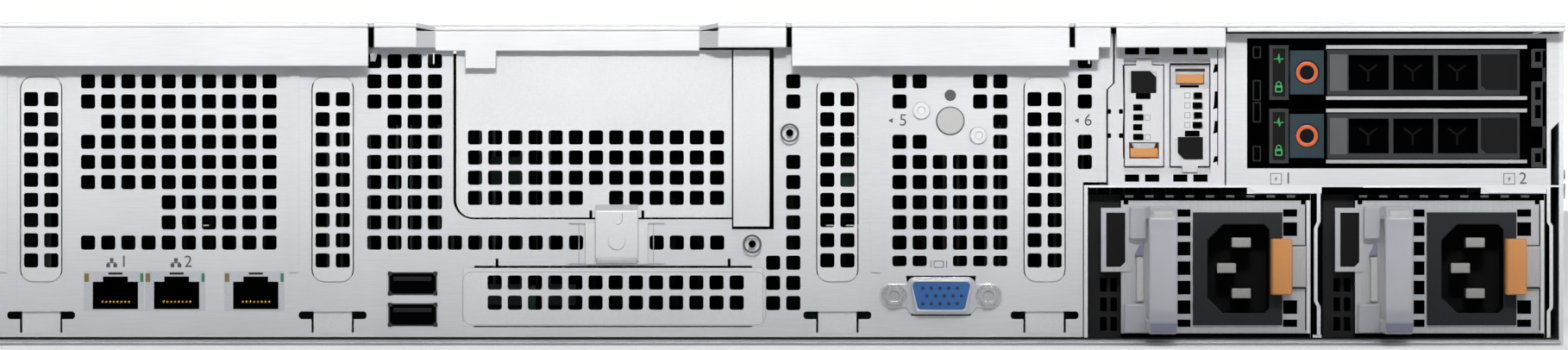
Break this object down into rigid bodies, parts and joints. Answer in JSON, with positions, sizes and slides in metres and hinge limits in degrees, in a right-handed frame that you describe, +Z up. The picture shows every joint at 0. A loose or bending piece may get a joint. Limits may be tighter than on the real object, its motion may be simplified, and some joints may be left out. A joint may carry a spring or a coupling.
{
  "type": "2u rack server",
  "caption": "Rack-mount server case with perforated rear wall, sliding cover, hot-swap power supplies, drive carriers, sockets, fans and front ears.",
  "frame": {"origin": "centre of the base of the whole machine, on the surface that it stands on", "axes": "+Z up, -Y out of the rear wall, +X to the right as the rear is seen, Y along the depth"},
  "size_m": [0.4824, 0.7584, 0.0868],
  "materials": {
    "case_steel": "galvanised sheet, fine satin",
    "panel_steel": "bright perforated sheet",
    "blank_steel": "plain sheet",
    "screw_steel": "satin plated",
    "port_metal": "tinned shell",
    "display_port": "blue moulded insert in a tinned shell",
    "dark_plastic": "fine grained dark moulding",
    "slate_plastic": "slate moulding",
    "orange_plastic": "terracotta moulding",
    "clear_plastic": "clear smoked handle",
    "supply_steel": "sheet case",
    "board_green": "solder resist",
    "cooler_metal": "extruded fins",
    "carrier_steel": "carrier rails"
  },
  "bodies": {
    "chassis": {"base_tray": "case_steel", "rear_panel": "panel_steel", "slot_fillers": "blank_steel", "riser_blank": "blank_steel", "riser_clamp": "blank_steel", "port_filler": "blank_steel", "panel_screws": "screw_steel", "io_ports": "port_metal", "vga_port": "display_port", "boot_housing": "case_steel", "rear_drive_cage": "case_steel", "psu_cage": "case_steel", "system_board": "board_green", "heatsinks": "cooler_metal", "memory_modules": "board_green", "air_shroud": "dark_plastic", "risers": "board_green", "fan_housings": "dark_plastic", "front_cage": "case_steel", "drive_blanks": "dark_plastic", "backplane": "board_green", "control_ears": "dark_plastic", "rail_studs": "screw_steel"},
    "cover": {"top_cover": "case_steel", "cover_lips": "case_steel"},
    "cover_lever": {"cover_latch": "slate_plastic"},
    "power_supply_1": {"psu_1_case": "supply_steel", "psu_1_inlet": "slate_plastic", "psu_1_handle": "clear_plastic"},
    "power_release_1": {"psu_1_release": "orange_plastic"},
    "rear_carrier_1": {"rear_drive_1": "carrier_steel"},
    "rear_handle_1": {"rear_lever_1": "carrier_steel"},
    "rear_push_1": {"rear_button_1": "slate_plastic"},
    "boot_drive_1": {"boot_carrier_1": "dark_plastic"},
    "boot_catch_1": {"boot_latch_1": "orange_plastic"},
    "power_supply_2": {"psu_2_case": "supply_steel", "psu_2_inlet": "slate_plastic", "psu_2_handle": "clear_plastic"},
    "power_release_2": {"psu_2_release": "orange_plastic"},
    "rear_carrier_2": {"rear_drive_2": "carrier_steel"},
    "rear_handle_2": {"rear_lever_2": "carrier_steel"},
    "rear_push_2": {"rear_button_2": "slate_plastic"},
    "boot_drive_2": {"boot_carrier_2": "dark_plastic"},
    "boot_catch_2": {"boot_latch_2": "orange_plastic"},
    "rotor_1": {"fan_rotor_1": "dark_plastic"},
    "front_carrier_1": {"front_drive_1": "carrier_steel"},
    "front_handle_1": {"front_lever_1": "slate_plastic"},
    "rotor_2": {"fan_rotor_2": "dark_plastic"},
    "front_carrier_2": {"front_drive_2": "carrier_steel"},
    "front_handle_2": {"front_lever_2": "slate_plastic"},
    "rotor_3": {"fan_rotor_3": "dark_plastic"},
    "front_carrier_3": {"front_drive_3": "carrier_steel"},
    "front_handle_3": {"front_lever_3": "slate_plastic"},
    "rotor_4": {"fan_rotor_4": "dark_plastic"},
    "front_carrier_4": {"front_drive_4": "carrier_steel"},
    "front_handle_4": {"front_lever_4": "slate_plastic"},
    "id_push": {"id_button": "dark_plastic"},
    "power_push": {"power_button": "slate_plastic"},
    "rack_catch_left": {"rack_latch_left": "slate_plastic"},
    "rack_catch_right": {"rack_latch_right": "slate_plastic"}
  },
  "joints": [
    {"name": "cover_slide", "type": "slide", "parent": "chassis", "child": "cover", "axis": [0, -1, 0], "range_m": [0, 0.012]},
    {"name": "cover_latch_turn", "type": "hinge", "parent": "cover", "child": "cover_lever", "pos_m": [0, -0.01075, 0.0822], "axis": [1, 0, 0], "range_deg": [0, 70]},
    {"name": "power_supply_1_slide", "type": "slide", "parent": "chassis", "child": "power_supply_1", "axis": [0, -1, 0], "range_m": [0, 0.19]},
    {"name": "power_release_1_slide", "type": "slide", "parent": "power_supply_1", "child": "power_release_1", "axis": [-1, 0, 0], "range_m": [0, 0.002], "stiffness_N_per_m": 600, "springref_m": -0.001},
    {"name": "rear_carrier_1_slide", "type": "slide", "parent": "chassis", "child": "rear_carrier_1", "axis": [0, -1, 0], "range_m": [0, 0.105]},
    {"name": "rear_handle_1_turn", "type": "hinge", "parent": "rear_carrier_1", "child": "rear_handle_1", "pos_m": [0.2035, -0.34145, 0.07355], "axis": [0, 0, 1], "range_deg": [0, 60]},
    {"name": "rear_push_1_press", "type": "slide", "parent": "rear_carrier_1", "child": "rear_push_1", "axis": [0, 1, 0], "range_m": [0, 0.0015], "stiffness_N_per_m": 300, "springref_m": -0.001},
    {"name": "boot_drive_1_slide", "type": "slide", "parent": "chassis", "child": "boot_drive_1", "axis": [0, -1, 0], "range_m": [0, 0.112]},
    {"name": "boot_catch_1_slide", "type": "slide", "parent": "boot_drive_1", "child": "boot_catch_1", "axis": [0, 0, 1], "range_m": [0, 0.0012], "stiffness_N_per_m": 300, "springref_m": -0.001},
    {"name": "power_supply_2_slide", "type": "slide", "parent": "chassis", "child": "power_supply_2", "axis": [0, -1, 0], "range_m": [0, 0.19]},
    {"name": "power_release_2_slide", "type": "slide", "parent": "power_supply_2", "child": "power_release_2", "axis": [-1, 0, 0], "range_m": [0, 0.002], "stiffness_N_per_m": 600, "springref_m": -0.001},
    {"name": "rear_carrier_2_slide", "type": "slide", "parent": "chassis", "child": "rear_carrier_2", "axis": [0, -1, 0], "range_m": [0, 0.105]},
    {"name": "rear_handle_2_turn", "type": "hinge", "parent": "rear_carrier_2", "child": "rear_handle_2", "pos_m": [0.2035, -0.34145, 0.05645], "axis": [0, 0, 1], "range_deg": [0, 60]},
    {"name": "rear_push_2_press", "type": "slide", "parent": "rear_carrier_2", "child": "rear_push_2", "axis": [0, 1, 0], "range_m": [0, 0.0015], "stiffness_N_per_m": 300, "springref_m": -0.001},
    {"name": "boot_drive_2_slide", "type": "slide", "parent": "chassis", "child": "boot_drive_2", "axis": [0, -1, 0], "range_m": [0, 0.112]},
    {"name": "boot_catch_2_slide", "type": "slide", "parent": "boot_drive_2", "child": "boot_catch_2", "axis": [0, 0, 1], "range_m": [0, 0.0012], "stiffness_N_per_m": 300, "springref_m": -0.001},
    {"name": "rotor_1_spin", "type": "hinge", "parent": "chassis", "child": "rotor_1", "pos_m": [-0.15, 0.12625, 0.0421], "axis": [0, 1, 0], "continuous": true},
    {"name": "front_carrier_1_slide", "type": "slide", "parent": "chassis", "child": "front_carrier_1", "axis": [0, 1, 0], "range_m": [0, 0.15]},
    {"name": "front_handle_1_turn", "type": "hinge", "parent": "front_carrier_1", "child": "front_handle_1", "pos_m": [-0.11065, 0.3766, 0.0148], "axis": [0, 0, -1], "range_deg": [0, 50]},
    {"name": "rotor_2_spin", "type": "hinge", "parent": "chassis", "child": "rotor_2", "pos_m": [-0.05, 0.12625, 0.0421], "axis": [0, 1, 0], "continuous": true},
    {"name": "front_carrier_2_slide", "type": "slide", "parent": "chassis", "child": "front_carrier_2", "axis": [0, 1, 0], "range_m": [0, 0.15]},
    {"name": "front_handle_2_turn", "type": "hinge", "parent": "front_carrier_2", "child": "front_handle_2", "pos_m": [-0.00665, 0.3766, 0.0148], "axis": [0, 0, -1], "range_deg": [0, 50]},
    {"name": "rotor_3_spin", "type": "hinge", "parent": "chassis", "child": "rotor_3", "pos_m": [0.05, 0.12625, 0.0421], "axis": [0, 1, 0], "continuous": true},
    {"name": "front_carrier_3_slide", "type": "slide", "parent": "chassis", "child": "front_carrier_3", "axis": [0, 1, 0], "range_m": [0, 0.15]},
    {"name": "front_handle_3_turn", "type": "hinge", "parent": "front_carrier_3", "child": "front_handle_3", "pos_m": [0.09735, 0.3766, 0.0148], "axis": [0, 0, -1], "range_deg": [0, 50]},
    {"name": "rotor_4_spin", "type": "hinge", "parent": "chassis", "child": "rotor_4", "pos_m": [0.15, 0.12625, 0.0421], "axis": [0, 1, 0], "continuous": true},
    {"name": "front_carrier_4_slide", "type": "slide", "parent": "chassis", "child": "front_carrier_4", "axis": [0, 1, 0], "range_m": [0, 0.15]},
    {"name": "front_handle_4_turn", "type": "hinge", "parent": "front_carrier_4", "child": "front_handle_4", "pos_m": [0.20135, 0.3766, 0.0148], "axis": [0, 0, -1], "range_deg": [0, 50]},
    {"name": "id_push_press", "type": "slide", "parent": "chassis", "child": "id_push", "axis": [0, 1, 0], "range_m": [0, 0.001], "stiffness_N_per_m": 400, "springref_m": -0.001},
    {"name": "power_push_press", "type": "slide", "parent": "chassis", "child": "power_push", "axis": [0, -1, 0], "range_m": [0, 0.001], "stiffness_N_per_m": 400, "springref_m": -0.001},
    {"name": "rack_catch_left_turn", "type": "hinge", "parent": "chassis", "child": "rack_catch_left", "pos_m": [-0.22985, 0.3751, 0.029], "axis": [0, 0, 1], "range_deg": [0, 60], "stiffness_Nm_per_rad": 0.02, "springref_deg": -5.73},
    {"name": "rack_catch_right_turn", "type": "hinge", "parent": "chassis", "child": "rack_catch_right", "pos_m": [0.22985, 0.3751, 0.029], "axis": [0, 0, -1], "range_deg": [0, 60], "stiffness_Nm_per_rad": 0.02, "springref_deg": -5.73}
  ],
  "couplings": [
    {"joint": "cover_latch_turn", "follows": "cover_slide", "rad_per_m": 101.8}
  ]
}
